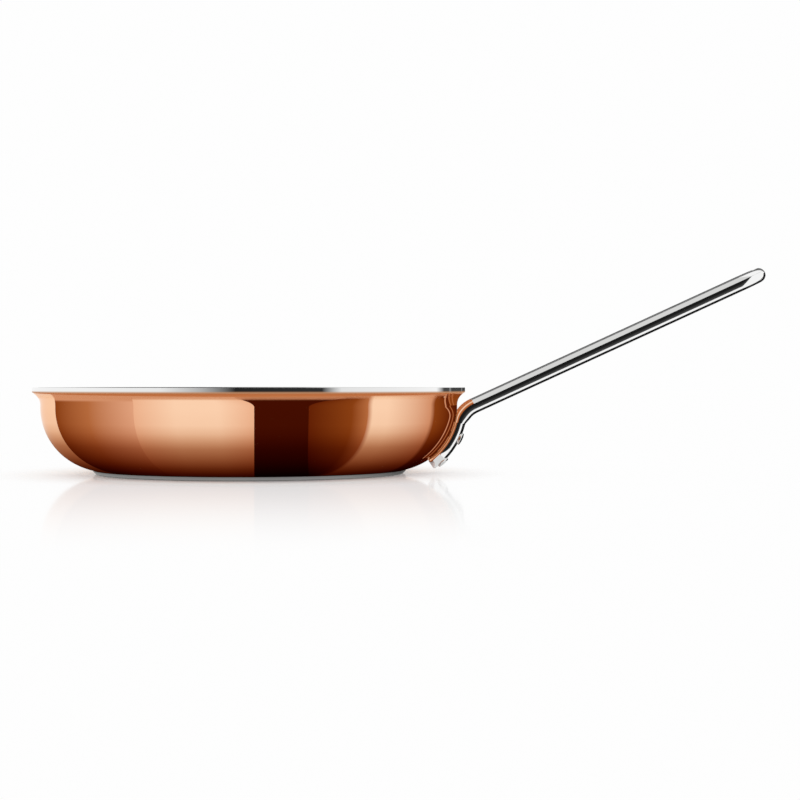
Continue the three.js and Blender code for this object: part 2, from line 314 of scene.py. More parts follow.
# painted shade: a slightly darker band just under the lip of the rim
under_lip_shade_mask = fade(tree, height, UNDER_LIP_SHADE_FROM, UNDER_LIP_SHADE_TO)
tree.links.new(blend_colours(tree, under_lip_shade_mask, flared, UNDER_LIP_SHADE), shader.inputs["Base Color"])
unpolished = add_node(tree, "ShaderNodeMath", {0: satin, 1: SATIN_ROUGHNESS}, operation="MULTIPLY")
gloss = add_node(tree, "ShaderNodeMath",
                 {0: spread(tree, cloud, *COPPER_ROUGHNESS), 1: unpolished.outputs[0]}, operation="MAXIMUM")
tree.links.new(gloss.outputs[0], shader.inputs["Roughness"])
shader.inputs["Specular Tint"].default_value = COPPER_EDGE
ridge(tree, shader, rings, depth=0.0006)

copper_bowl = smooth_piece("copper_bowl", *clad_layer(0, COPPER_THICKNESS), copper_metal)
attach(copper_bowl, "root")
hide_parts("copper_shell")


# Aluminium core: the heat-spreading layer, rolled together with the copper and the lining. It is
# sealed in by them and by the lip of the rim.

CORE_THICKNESS = 1.2
CORE_DEPTH = COPPER_THICKNESS + BOND_GAP
CORE_GREY = (0.70, 0.71, 0.73, 1)
CORE_DARK_GREY = (0.62, 0.63, 0.65, 1)
CORE_ROUGHNESS = (0.40, 0.50)

core_metal, tree, shader = new_metal("rolled_aluminium")
place = object_place(tree)
rings, cloud = place_spun_marks(tree, place, pitch=1.2, cloud_size=20)
tree.links.new(blend_colours(tree, cloud, CORE_DARK_GREY, CORE_GREY), shader.inputs["Base Color"])
tree.links.new(spread(tree, rings, *CORE_ROUGHNESS), shader.inputs["Roughness"])

core_layer = smooth_piece("core_layer", *clad_layer(CORE_DEPTH, CORE_THICKNESS), core_metal)
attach(core_layer, "root")
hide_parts("aluminium_core")


# Steel lining: the cooking surface of stainless steel, brushed in rings. It runs out over the other
# layers and turns down in a lip round the rim, which is polished.

LINER_THICKNESS = 0.8
LINER_DEPTH = CORE_DEPTH + CORE_THICKNESS + BOND_GAP
LIP_HEIGHT = 3.4
LIP_BOTTOM = RIM_HEIGHT - LIP_HEIGHT
LIP_ROUNDING = 0.6
LIP_INNER_ROUNDING = 0.05
RIM_ROUNDING = 0.15
RIM_TRIM = 3  # points of the inner face that give way to the rim's edge
LINER_GREY = (0.74, 0.74, 0.73, 1)
LINER_DARK_GREY = (0.64, 0.64, 0.63, 1)
RIM_GREY = (0.89, 0.89, 0.885, 1)
POLISHED_FROM, POLISHED_TO = 139.6, 139.9
LINER_ROUGHNESS, RIM_ROUGHNESS = (0.16, 0.30), 0.05

lining_metal, tree, shader = new_metal("lining_steel")
place = object_place(tree)
rings, cloud = place_spun_marks(tree, place, pitch=0.35, cloud_size=40)
brushed = fade(tree, distance_from_axis(tree, place), POLISHED_TO, POLISHED_FROM)
greys = blend_colours(tree, cloud, LINER_DARK_GREY, LINER_GREY)
tree.links.new(blend_colours(tree, brushed, RIM_GREY, greys), shader.inputs["Base Color"])
satin = add_node(tree, "ShaderNodeMath", {0: spread(tree, rings, *LINER_ROUGHNESS), 1: brushed},
                 operation="MULTIPLY")
gloss = add_node(tree, "ShaderNodeMath", {0: satin.outputs[0], 1: RIM_ROUGHNESS}, operation="MAXIMUM")
tree.links.new(gloss.outputs[0], shader.inputs["Roughness"])
relief = add_node(tree, "ShaderNodeMath", {0: rings, 1: brushed}, operation="MULTIPLY")
ridge(tree, shader, relief.outputs[0], depth=0.004)

outer_face = bowl_face(LINER_DEPTH, RIM_RADIUS - LIP_THICKNESS)
inner_face = bowl_face(LINER_DEPTH + LINER_THICKNESS, RIM_RADIUS)[::-1]
lip = rounded_outline(
    [outer_face[-1], (RIM_RADIUS - LIP_THICKNESS, LIP_BOTTOM), (RIM_RADIUS, LIP_BOTTOM),
     inner_face[0], inner_face[RIM_TRIM]],
    radii=(LIP_INNER_ROUNDING, LIP_ROUNDING, RIM_ROUNDING),
)
lining_outline = np.vstack([outer_face[:-1], lip[:-1], inner_face[RIM_TRIM:]])
steel_lining = smooth_piece("steel_lining", *turned(lining_outline), lining_metal)
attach(steel_lining, "root")
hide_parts("steel_liner")


# Handle: one stainless steel rod, bent double into a long loop. Its two legs are pressed flat where
# they follow the wall and are riveted there, and the whole rod is polished.

ROD_DIAMETER = 9.2
LEG_SPACING = 32
HANDLE_RISE = np.radians(24.65)
STRAIGHT_LENGTH = 188.4
BEND_RADIUS = 17
LEAVE_ANGLE = np.radians(14)
LEG_THICKNESS = 6.8
LEG_WIDTH = 10.6
PRESS_RUNOUT = 7
LEG_END_HEIGHT = 3.3
SEAT_GAP = 0.3
SEAT_TOUCH = 0.25
LEG_SWEEP = WALL_SWEEP + SEAT_GAP + LEG_THICKNESS / 2
LEG_END_ANGLE = np.arcsin((SWEEP_HEIGHT - LEG_END_HEIGHT) / (LEG_SWEEP + LEG_THICKNESS / 2))
END_ROUNDING = 1.3
END_NARROWING = 0.45
END_LENGTH = 9.5
CUT_STATIONS, LEG_STATIONS, BEND_STATIONS, RUN_STATIONS, LOOP_STATIONS = 8, 49, 49, 33, 33
ROD_GREY = (0.93, 0.93, 0.925, 1)
ROD_DARK_GREY = (0.88, 0.88, 0.875, 1)
ROD_ROUGHNESS = (0.05, 0.10)
STREAK_LENGTH, STREAK_PITCH = 40, 0.25


def seat(angle, side):
    """Points, outward normals and upward directions of a leg's centreline on the wall, at angles
    below the neck: the wall's own sweep, at half the leg's thickness, in the leg's upright plane."""
    radius = SWEEP_RADIUS + LEG_SWEEP * np.cos(angle)
    across = np.full_like(radius, side * LEG_SPACING / 2)
    along = np.sqrt(radius**2 - across**2)
    level = np.cos(angle) / radius
    point = np.stack([along, across, SWEEP_HEIGHT - LEG_SWEEP * np.sin(angle)], axis=-1)
    normal = np.stack([level * along, level * across, -np.sin(angle)], axis=-1)
    upward = np.stack([radius / along * np.sin(angle), 0 * angle, np.cos(angle)], axis=-1)
    return point, normal, upward / np.linalg.norm(upward, axis=-1, keepdims=True)


def half_rod():
    """Stations along half the rod, from a leg's cut end to the middle of the loop: points, normals,
    directions, how far each is pressed, and how far it is inset. The rod follows the wall, bends
    away on an arc, runs straight, and turns a quarter of the loop. The pressing ends in a smooth
    step over its runout. The inset rounds the cut end: it falls with the sine of a quarter turn while
    the stations move on with its cosine."""
    quarter = np.linspace(0, np.pi / 2, CUT_STATIONS)
    cut = LEG_END_ANGLE - END_ROUNDING * (1 - np.cos(quarter)) / LEG_SWEEP
    angle = np.concatenate([cut, np.linspace(cut[-1], LEAVE_ANGLE, LEG_STATIONS)[1:]])
    on_wall, outward, upward = seat(angle, 1)
    steep = np.arctan2(upward[-1, 2], upward[-1, 0])
    slope = np.linspace(steep, HANDLE_RISE, BEND_STATIONS)[1:]
    above = np.stack([-np.sin(slope), 0 * slope, np.cos(slope)], axis=-1)
    ahead = np.stack([np.cos(slope), 0 * slope, np.sin(slope)], axis=-1)
    in_bend = on_wall[-1] + BEND_RADIUS * (above - [-np.sin(steep), 0, np.cos(steep)])
    run = np.linspace(0, STRAIGHT_LENGTH, RUN_STATIONS)[1:-1, None]
    turn = np.linspace(0, np.pi / 2, LOOP_STATIONS)[:, None]
    loop_centre = (in_bend[-1] + STRAIGHT_LENGTH * ahead[-1]) * [1, 0, 1]
    sideways = np.array([0, 1, 0])
    in_loop = loop_centre + LEG_SPACING / 2 * (np.sin(turn) * ahead[-1] + np.cos(turn) * sideways)
    round_loop = np.cos(turn) * ahead[-1] - np.sin(turn) * sideways
    points = np.vstack([on_wall, in_bend, in_bend[-1] + run * ahead[-1], in_loop])
    normals = np.vstack([outward, -above, np.repeat(-above[-1:], len(run) + len(turn), axis=0)])
    directions = np.vstack([upward, ahead, np.repeat(ahead[-1:], len(run), axis=0), round_loop])
    release = np.clip(BEND_RADIUS * (steep - slope) / PRESS_RUNOUT, 0, 1)
    pressed = np.zeros(len(points))
    pressed[: len(angle)] = 1
    pressed[len(angle): len(angle) + len(slope)] = 1 - release**2 * (3 - 2 * release)
    inset = np.zeros(len(points))
    inset[: len(quarter)] = END_ROUNDING * (1 - np.sin(quarter))
    return points, normals, directions, pressed, inset


def rod_section(angle, pressed, inset):
    """Depth and width of the rod's section at angles from its outer side. A section is a circle, and
    as far as the rod is pressed there, its outer side is half an ellipse. Its inner side is held
    within half the leg's thickness by a soft limit, x over the eighth root of 1 + x to the eighth,
    and settles on the wall."""
    radius = ROD_DIAMETER / 2 + pressed * (LEG_WIDTH - ROD_DIAMETER) / 2 - inset
    half = LEG_THICKNESS / 2 - inset
    depth = radius * np.cos(angle)
    share = depth / half
    flat = half * share / (1 + share**8) ** (1 / 8) - SEAT_TOUCH * np.clip(-share, 0, 1)
    formed = np.where(np.cos(angle) < 0, flat, half * np.cos(angle))
    return depth + pressed * (formed - depth), radius * np.sin(angle)


def end_narrowing(way):
    """How narrow a leg is at a way from its cut end: it narrows with the square of the way left."""
    return 1 - END_NARROWING * np.clip(1 - way / END_LENGTH, 0, 1) ** 2


def whole_rod(sides=48):
    """Rings of the whole rod, and the same points on the rod unbent, lying along X. The second half of
    the rod mirrors the first."""
    point, normal, ahead, pressed, inset = half_rod()
    mirror = np.array([1, -1, 1])
    point = np.vstack([point, (mirror * point)[-2::-1]])
    normal = np.vstack([normal, (mirror * normal)[-2::-1]])[:, None]
    ahead = np.vstack([ahead, (-mirror * ahead)[-2::-1]])[:, None]
    pressed = np.concatenate([pressed, pressed[-2::-1]])[:, None]
    inset = np.concatenate([inset, inset[-2::-1]])[:, None]
    along = np.concatenate([[0], np.cumsum(np.linalg.norm(np.diff(point, axis=0), axis=1))])
    angle = np.linspace(0, 2 * np.pi, sides, endpoint=False)
    depth, width = rod_section(angle, pressed, inset)
    width = width * end_narrowing(np.minimum(along, along[-1] - along))[:, None]
    across = np.cross(ahead, normal)
    rings = point[:, None] + depth[..., None] * normal + width[..., None] * across
    unbent = np.stack([along[:, None] + 0 * depth, depth, width], axis=-1)
    return rings, unbent, point


def make_drawn_marks():
    """Node group for drawn and polished rod. Streaks is noise stretched along the rod, counted in
    lengths along it and pitches across it, and Cloud is soft noise of the streaks' length."""
    group, given, put_out = new_group(
        "drawn_marks",
        {"Position": "Vector", "Length": "Float", "Pitch": "Float"},
        {"Streaks": "Float", "Cloud": "Float"},
    )
    stretch = add_node(group, "ShaderNodeCombineXYZ",
                       {"X": given["Length"], "Y": given["Pitch"], "Z": given["Pitch"]})
    counted = add_node(group, "ShaderNodeVectorMath", {0: given["Position"], 1: stretch.outputs[0]},
                       operation="DIVIDE")
    streaks = add_node(group, "ShaderNodeTexNoise", {"Vector": counted.outputs[0], "Scale": 1, "Detail": 2})
    evenly = add_node(group, "ShaderNodeVectorMath", {0: given["Position"], 1: given["Length"]},
                      operation="DIVIDE")
    cloud = add_node(group, "ShaderNodeTexNoise", {"Vector": evenly.outputs[0], "Scale": 1, "Detail": 3})
    group.links.new(streaks.outputs[0], put_out["Streaks"])
    group.links.new(cloud.outputs[0], put_out["Cloud"])
    return group


drawn_marks = make_drawn_marks()


def keep_unworked(made, places):
    """Keeps, for each point of a piece, its place in millimetres on the stock it was made from."""
    attribute = made.data.attributes.new("stock", "FLOAT_VECTOR", "POINT")
    attribute.data.foreach_set("vector", (places * MM).ravel())


def stock_place(tree):
    """A point of the surface as it lay on the stock."""
    return add_node(tree, "ShaderNodeAttribute", attribute_name="stock").outputs["Vector"]


rod_metal, tree, shader = new_metal("polished_rod_steel")
marks = add_node(tree, "ShaderNodeGroup", {"Position": stock_place(tree)}, node_tree=drawn_marks)
marks.inputs["Length"].default_value = STREAK_LENGTH * MM
marks.inputs["Pitch"].default_value = STREAK_PITCH * MM
tree.links.new(blend_colours(tree, marks.outputs["Cloud"], ROD_DARK_GREY, ROD_GREY),
               shader.inputs["Base Color"])
tree.links.new(spread(tree, marks.outputs["Streaks"], *ROD_ROUGHNESS), shader.inputs["Roughness"])
ridge(tree, shader, marks.outputs["Streaks"], depth=0.0004)

rings, unbent, centreline = whole_rod()
rod_handle = smooth_piece("rod_handle", *closed_skin(rings, centreline[0], centreline[-1]), rod_metal)
ends = np.array([[unbent[0, 0, 0], 0, 0], [unbent[-1, 0, 0], 0, 0]])
keep_unworked(rod_handle, np.vstack([unbent.reshape(-1, 3), ends]))
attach(rod_handle, "root")
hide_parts("handle")


# Rivets: four of stainless steel, two through each leg and the bowl's wall. Each has a low polished
# head set down over the round of the leg, and a wider one inside the bowl, where its tail was upset.

SHANK_DIAMETER = 5
HEAD_DIAMETER = 8
HEAD_HEIGHT = 1.4
HEAD_EDGE = 0.5
HEAD_SKIRT = 1.3
HEAD_STATIONS = 17
INNER_HEAD_DIAMETER = 9
INNER_HEAD_HEIGHT = 1.5
RIVET_EDGE = 6.8
RIVET_PITCH = 17.4
WALL_THICKNESS = LINER_DEPTH + LINER_THICKNESS
LOWER_RIVET_ANGLE = LEG_END_ANGLE - RIVET_EDGE / LEG_SWEEP
UPPER_RIVET_ANGLE = LOWER_RIVET_ANGLE - RIVET_PITCH / LEG_SWEEP
RIVET_GREY = (0.80, 0.80, 0.79, 1)
RIVET_DARK_GREY = (0.66, 0.66, 0.65, 1)
RIVET_ROUGHNESS = (0.08, 0.16)


def head_outline(diameter, height, skirt=0):
    """A low domed head as (radius, height) points from the foot of its skirt to its crown: a short
    upright edge, then a quarter of an ellipse."""
    angle = np.linspace(0, np.pi / 2, HEAD_STATIONS)
    crown = HEAD_EDGE + (height - HEAD_EDGE) * np.sin(angle)
    return np.vstack([[[diameter / 2, -skirt]], np.stack([diameter / 2 * np.cos(angle), crown], axis=-1)])


def rivet_outline():
    """A rivet about its own axis, with height measured from the outer face of the leg: the head
    inside the bowl, the shank, and the head that sits on the leg."""
    inner_face = -(LEG_THICKNESS + SEAT_GAP + WALL_THICKNESS)
    inner_head = head_outline(INNER_HEAD_DIAMETER, INNER_HEAD_HEIGHT)[::-1] * [1, -1]
    shank = [[SHANK_DIAMETER / 2, inner_face], [SHANK_DIAMETER / 2, -HEAD_SKIRT]]
    outer_head = head_outline(HEAD_DIAMETER, HEAD_HEIGHT, HEAD_SKIRT)
    return np.vstack([inner_head + [0, inner_face], shank, outer_head])


rivet_metal, tree, shader = new_metal("polished_rivet_steel")
rings, cloud = place_spun_marks(tree, stock_place(tree), pitch=0.6, cloud_size=6)
tree.links.new(blend_colours(tree, cloud, RIVET_DARK_GREY, RIVET_GREY), shader.inputs["Base Color"])
tree.links.new(spread(tree, rings, *RIVET_ROUGHNESS), shader.inputs["Roughness"])
ridge(tree, shader, rings, depth=0.001)

rivet_points, rivet_faces = turned(rivet_outline(), turns=48)
for level, angle in (("upper", UPPER_RIVET_ANGLE), ("lower", LOWER_RIVET_ANGLE)):
    for hand, side in (("left", -1), ("right", 1)):
        (point,), (normal,), (upward,) = seat(np.array([angle]), side)
        axes = np.stack([np.cross(upward, normal), upward, normal])
        placed = point + LEG_THICKNESS / 2 * normal + rivet_points @ axes
        rivet = smooth_piece(f"{level}_{hand}_rivet", placed, rivet_faces, rivet_metal)
        keep_unworked(rivet, rivet_points)
        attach(rivet, "root")
        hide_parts(f"rivet_{level}_{hand}")


# Studio table: a wide white sheet with a gloss that fades away from the pan. It keeps a light shadow
# and a mirror image of the pan. To the camera and to reflections it also glows white, more so further
# from the pan: painted light that lightens the shadow there.

TABLE_REACH = 20
STUDIO_WHITE = (0.99, 0.99, 0.99, 1)
TABLE_GLOSS = 0.27
TABLE_ROUGHNESS = 0.06
GLOSS_FROM, GLOSS_TO = 130, 560
SHADOW_FROM, SHADOW_TO = 78, 168
SHADOW_CLEARED = 0.95

table_sheet = bpy.data.meshes.new("table")
corners = np.array([[-1, -1, 0], [1, -1, 0], [1, 1, 0], [-1, 1, 0]]) * TABLE_REACH
table_sheet.from_pydata(corners, [], [(0, 1, 2, 3)])
table = bpy.data.objects.new("table", table_sheet)
bpy.context.scene.collection.objects.link(table)

table_white = bpy.data.materials.new("table_white")
table_white.use_nodes = True
table_white.cycles.emission_sampling = "NONE"
tree = table_white.node_tree
tree.nodes.clear()
matt = add_node(tree, "ShaderNodeBsdfDiffuse", {"Color": STUDIO_WHITE})
# painted light: the white glow thins the pan's shadow away from the base
glow = add_node(tree, "ShaderNodeEmission", {"Color": STUDIO_WHITE})
rays = add_node(tree, "ShaderNodeLightPath").outputs
seen = add_node(tree, "ShaderNodeMath", {0: rays["Is Camera Ray"], 1: rays["Is Glossy Ray"]},
                operation="MAXIMUM")
from_axis = distance_from_axis(tree, object_place(tree))
cleared = add_node(tree, "ShaderNodeMapRange",
                   {"Value": from_axis, "From Min": SHADOW_FROM * MM, "From Max": SHADOW_TO * MM,
                    "To Max": SHADOW_CLEARED})
lifted = add_node(tree, "ShaderNodeMath", {0: seen.outputs[0], 1: cleared.outputs[0]},
                  operation="MULTIPLY")
paper = add_node(tree, "ShaderNodeMixShader",
                 {0: lifted.outputs[0], 1: matt.outputs[0], 2: glow.outputs[0]})
sheen = add_node(tree, "ShaderNodeBsdfGlossy", {"Color": (1, 1, 1, 1), "Roughness": TABLE_ROUGHNESS})
near = fade(tree, from_axis, GLOSS_TO, GLOSS_FROM)
gloss = add_node(tree, "ShaderNodeMath", {0: near, 1: TABLE_GLOSS}, operation="MULTIPLY")
both = add_node(tree, "ShaderNodeMixShader",
                {0: gloss.outputs[0], 1: paper.outputs[0], 2: sheen.outputs[0]})
add_node(tree, "ShaderNodeOutputMaterial", {"Surface": both.outputs[0]})
table_sheet.materials.append(table_white)


# Camera: a hair above the rim, straight in front of the pan's side, with a long lens and the frame
# shifted down a little.

CAMERA_PLACE = np.array([97.6, -1150, 58])
LENS, SENSOR_WIDTH = 79.164, 36
FRAME_SHIFT = -0.0197

camera_lens = bpy.data.cameras.new("camera")
camera_lens.lens = LENS
camera_lens.sensor_width = SENSOR_WIDTH
camera_lens.shift_y = FRAME_SHIFT
camera = bpy.data.objects.new("camera", camera_lens)
camera.location = CAMERA_PLACE * MM
camera.rotation_euler = (np.pi / 2, 0, 0)
bpy.context.scene.collection.objects.link(camera)
bpy.context.scene.camera = camera


# Bowl cards: coloured paper bent round the bowl, close to its wall and its flare, where the camera
# finds its mirror image. Only reflections see it, and it gives the polished copper its light and dark
# fields and the lines beside the leg.

WHITE = (1, 1, 1)
CREAM = (0.88, 0.71, 0.63)
SAND = (0.78, 0.57, 0.49)
TAN = (0.68, 0.45, 0.35)
SIENNA = (0.55, 0.32, 0.22)
CLAY = (0.48, 0.23, 0.11)
RUST = (0.26, 0.08, 0.016)
UMBER = (0.13, 0.024, 0.004)
BLACK = (0.058, 0.007, 0.001)
TINY = 1e-6
CARD_HEIGHT = 0.5
DIRECT_DEPTH = 1.5  # between a ray's first mirror and its second
BOUNCED_GAMMA = 0.4
WALL_REACH, FLARE_REACH = 8, 2
FOOT_REACH, FOOT_NEARING = 0.8, 66
LEG_SIDE_REACH, LEG_BACK_REACH = 1.5, 10
SEEN_FURTHER, FLARE_SEEN_FURTHER = 1.5, 2.5
FIELD_COLUMNS, WALL_ROWS, FLARE_ROWS = 41, 161, 57
NECK_ANGLE, FOOT_ANGLE, WALL_END = -1.2, 72, 79
FLARE_TOP, FIELD_TOP, BAND_BLEND = 56, 35, 8
WALL_BEND, FLARE_BEND = 2.5, 2
SIDE = 89  # azimuth just before the bowl turns away from the camera
BOWL_FIELDS = (
    # name, azimuths in the flare, at the neck and at the foot, their colours, then the flare's band and
    # the angle at which it starts
    ("pale", (-SIDE, -56.4), (-SIDE, -57.3), (-SIDE, -51), (WHITE, WHITE), WHITE, 30),
    ("left", (-56.4, -41, -25.6), (-57.3, -41, -25.6), (-51, -38, -22), (RUST, CLAY, SAND), TAN, 22),
    ("front", (-25.6, -14, -5, 1), (-25.6, -14, -3, 5.7), (-22, -12, -2, 6),
     (CREAM, WHITE, WHITE, CREAM), TAN, 30),
    ("dark", (1, 29), (5.7, 19.3), (6, 24), (BLACK, BLACK), SIENNA, 30),
    ("brown", (29, 33, 35.7), (19.3, 31, 35.7), (24, 27.5, 29.7), (UMBER, RUST, CLAY), SIENNA, 36),
    ("right", (35.7, 37.2, 42, 59.7), (35.7, 37.2, 42, 59.7), (29.7, 31.2, 38.5, 59),
     (SIENNA, WHITE, WHITE, TAN), TAN, 44),
    ("handle_side", (59.7, 62, 66), (59.7, 62, 74), (59, 61.5, 70), (TAN, RUST, UMBER), SIENNA, 44),
)
LEG_LINES_TOP, LEG_LINES_NECK = (65.9, 67.5, 70), (69.5, 74.1, 77.9)
LEG_LINES_WALL, LEG_LINES_FOOT = (75, 78.9), (67.5, 71.4)
LINE_EDGES = (-0.65, -0.35, 0.35, 0.65)
LEG_FLARE_COLOURS = (UMBER, TAN, TAN, UMBER, UMBER, CLAY, CLAY, RUST, RUST, CLAY, CLAY, RUST, RUST)
LEG_WALL_COLOURS = (UMBER, TAN, TAN, UMBER, UMBER, CLAY, CLAY, UMBER, BLACK)
LEG_FOOT_ANGLE = 51
LEG_SIDE_SWING, SWING_END = 5.5, 10
LEG_SIDE_SHADES = (0.6, 0.7, 0.9, 1, 1, 1)
LEG_BACK_NECK, LEG_BACK_FOOT = (71, SIDE), (69, SIDE)
# painted shade of the bowl cards: darker and warmer towards the base, as the table in the pan's shadow
SHADE_HEIGHTS = (4, 8, 20, 29, 34, 44)
SHADES = (0.04, 0.115, 0.43, 0.83, 0.96, 1)
SHADE_WARMTH = np.array([1, 1.65, 2.15])


def card_material(name, seen_within):
    """Paper that shines with its own colours towards its front. Its back is seen through, and so is its
    front by rays that have come further than a limit in millimetres. Rays that come by way of another
    mirror, such as the table, see its colours paler by a gamma."""
    material = bpy.data.materials.new(name)
    material.use_nodes = True
    material.cycles.emission_sampling = "NONE"
    tree = material.node_tree
    tree.nodes.clear()
    colour = add_node(tree, "ShaderNodeAttribute", attribute_name="colour").outputs["Color"]
    rays = add_node(tree, "ShaderNodeLightPath").outputs
    bounced = add_node(tree, "ShaderNodeMath", {0: rays["Ray Depth"], 1: DIRECT_DEPTH},
                       operation="GREATER_THAN")
    paler = add_node(tree, "ShaderNodeGamma", {"Color": colour, "Gamma": BOUNCED_GAMMA})
    shown = blend_colours(tree, bounced.outputs[0], colour, paler.outputs[0])
    glow = add_node(tree, "ShaderNodeEmission", {"Color": shown})
    clear = add_node(tree, "ShaderNodeBsdfTransparent")
    back = add_node(tree, "ShaderNodeNewGeometry").outputs["Backfacing"]
    far = add_node(tree, "ShaderNodeMath", {0: rays["Ray Length"], 1: seen_within * MM},
                   operation="GREATER_THAN")
    unseen = add_node(tree, "ShaderNodeMath", {0: back, 1: far.outputs[0]}, operation="MAXIMUM")
    both = add_node(tree, "ShaderNodeMixShader",
                    {0: unseen.outputs[0], 1: glow.outputs[0], 2: clear.outputs[0]})
    add_node(tree, "ShaderNodeOutputMaterial", {"Surface": both.outputs[0]})
    return material


def studio_card(name, points, colours, paper):
    """A card from a grid of points in millimetres and a grid of their colours, seen by reflections
    alone. Its front is on the side from which its columns run left to right as its rows run down."""
    rows, columns = points.shape[:2]
    here = np.arange(rows * columns).reshape(rows, columns)
    faces = np.stack([here[:-1, :-1], here[1:, :-1], here[1:, 1:], here[:-1, 1:]], axis=-1)
    sheet = bpy.data.meshes.new(name)
    sheet.from_pydata(points.reshape(-1, 3) * MM, [], faces.reshape(-1, 4).tolist())
    painted = sheet.color_attributes.new("colour", "FLOAT_COLOR", "POINT")
    opaque = np.concatenate([colours, np.ones((rows, columns, 1))], axis=-1)
    painted.data.foreach_set("color", opaque.ravel())
    sheet.materials.append(paper)
    card = bpy.data.objects.new(name, sheet)
    for rays in ("camera", "diffuse", "transmission", "volume_scatter", "shadow"):
        setattr(card, "visible_" + rays, False)
    bpy.context.scene.collection.objects.link(card)


def facing_card(name, surface, normal, reach, colours, paper):
    """A card that fills what a polished surface mirrors to the camera. A mirrored ray is twice the
    normal times its share of the ray back to the camera, less that ray, and the card's points are
    where these rays meet the table or come to the end of their reach."""
    ray = CAMERA_PLACE - surface
    ray = ray / np.linalg.norm(ray, axis=-1, keepdims=True)
    mirrored = 2 * np.sum(normal * ray, axis=-1, keepdims=True) * normal - ray
    drop = np.maximum(-mirrored[..., 2], TINY)
    length = np.minimum((surface[..., 2] - CARD_HEIGHT) / drop, reach)
    studio_card(name, surface + length[..., None] * mirrored, colours, paper)


def round_card(name, azimuth, radius, height, tilt, reach, colours, paper):
    """A card in front of a turned surface, at azimuths in degrees from the camera's side round to the
    handle and at radii and heights where the surface faces down by a tilt in degrees."""
    azimuth, tilt = np.radians(azimuth), np.radians(tilt)
    surface = np.stack([radius * np.sin(azimuth), -radius * np.cos(azimuth), height + 0 * azimuth], axis=-1)
    normal = np.stack([np.cos(tilt) * np.sin(azimuth), -np.cos(tilt) * np.cos(azimuth),
                       -np.sin(tilt) + 0 * azimuth], axis=-1)
    facing_card(name, surface, normal, reach, colours, paper)


def along_stops(places, stops, colours):
    """Colours blended evenly between stops, for each place along them."""
    return np.stack([np.interp(places, stops, channel) for channel in np.transpose(colours)], axis=-1)


def wall_card(name, neck, foot, colours, reach, paper, swing=0, shades=SHADES, end=WALL_END,
              bend=WALL_BEND):
    """A card that fills a field of the wall, between azimuths that shift from those at the neck to those
    at the foot with a power of the angle down the wall, and that swing towards the camera just below
    the neck. It is painted darker and warmer towards the base, a painted shade that stands for the table
    in the pan's shadow and in light that the copper has coloured, and comes nearer at the foot, so that
    it lies before the base."""
    spot = np.linspace(0, len(neck) - 1, FIELD_COLUMNS)
    at_neck = np.interp(spot, range(len(neck)), neck)[:, None]
    at_foot = np.interp(spot, range(len(foot)), foot)[:, None]
    angle = np.linspace(NECK_ANGLE, end, WALL_ROWS)
    azimuth = at_neck + (at_foot - at_neck) * np.maximum(angle / FOOT_ANGLE, 0) ** bend
    azimuth = azimuth - swing * np.clip(1 - angle / SWING_END, 0, 1) ** 2
    radius = SWEEP_RADIUS + WALL_SWEEP * np.cos(np.radians(angle))
    height = SWEEP_HEIGHT - WALL_SWEEP * np.sin(np.radians(angle))
    shade = np.interp(height, SHADE_HEIGHTS, shades)[:, None] ** SHADE_WARMTH
    colour = along_stops(spot, range(len(neck)), colours)[:, None] * shade
    nearing = np.interp(angle, (FOOT_NEARING, FOOT_ANGLE), (reach, FOOT_REACH))
    round_card(name, azimuth, radius, height, angle, nearing, colour, paper)


def flare_card(name, top, neck, colours, band, band_start, paper, reach=FLARE_REACH, field_top=FIELD_TOP,
               bend=FLARE_BEND):
    """A card that fills a field of the flare, between azimuths that shift from those at the neck to
    those at the field's top with a power of the angle up the flare. Above the band's start it has one
    colour."""
    spot = np.linspace(0, len(neck) - 1, FIELD_COLUMNS)
    at_neck = np.interp(spot, range(len(neck)), neck)[:, None]
    at_top = np.interp(spot, range(len(top)), top)[:, None]
    angle = np.linspace(FLARE_TOP, 0, FLARE_ROWS)
    azimuth = at_neck + (at_top - at_neck) * np.minimum(angle / field_top, 1) ** bend
    radius = NECK_RADIUS + FLARE_RADIUS * (1 - np.cos(np.radians(angle)))
    height = FLARE_START + FLARE_RADIUS * np.sin(np.radians(angle))
    share = np.clip((angle - band_start) / BAND_BLEND + 0.5, 0, 1)[:, None]
    colour = along_stops(spot, range(len(neck)), colours)[:, None]
    banded = colour + share * (np.array(band) - colour)
    round_card(name, azimuth, radius, height, angle, reach, banded, paper)


wall_paper = card_material("wall_card_paper", WALL_REACH * SEEN_FURTHER)
flare_paper = card_material("flare_card_paper", FLARE_REACH * FLARE_SEEN_FURTHER)
for name, top, neck, foot, colours, band, band_start in BOWL_FIELDS:
    wall_card(name + "_card", neck, foot, colours, WALL_REACH, wall_paper)
    flare_card(name + "_flare_card", top, neck, colours, band, band_start, flare_paper)

lines_top, lines_neck, lines_wall, lines_foot = (
    np.append(np.add.outer(lines, LINE_EDGES), SIDE)
    for lines in (LEG_LINES_TOP, LEG_LINES_NECK, LEG_LINES_WALL, LEG_LINES_FOOT)
)
flare_card("leg_side_flare_card", lines_top, lines_neck, LEG_FLARE_COLOURS, RUST, FLARE_TOP, flare_paper,
           reach=LEG_SIDE_REACH, field_top=FLARE_TOP, bend=1)
wall_card("leg_side_card", lines_wall, lines_foot, LEG_WALL_COLOURS, LEG_SIDE_REACH, flare_paper,
          swing=LEG_SIDE_SWING, shades=LEG_SIDE_SHADES, end=LEG_FOOT_ANGLE, bend=1)
wall_card("leg_back_card", LEG_BACK_NECK, LEG_BACK_FOOT, (RUST, RUST), LEG_BACK_REACH, wall_paper)


# Base card: grey paper round the edge of the base, close under its bevel. It keeps the turned steel grey
# between the dark copper above it and the shadow below.

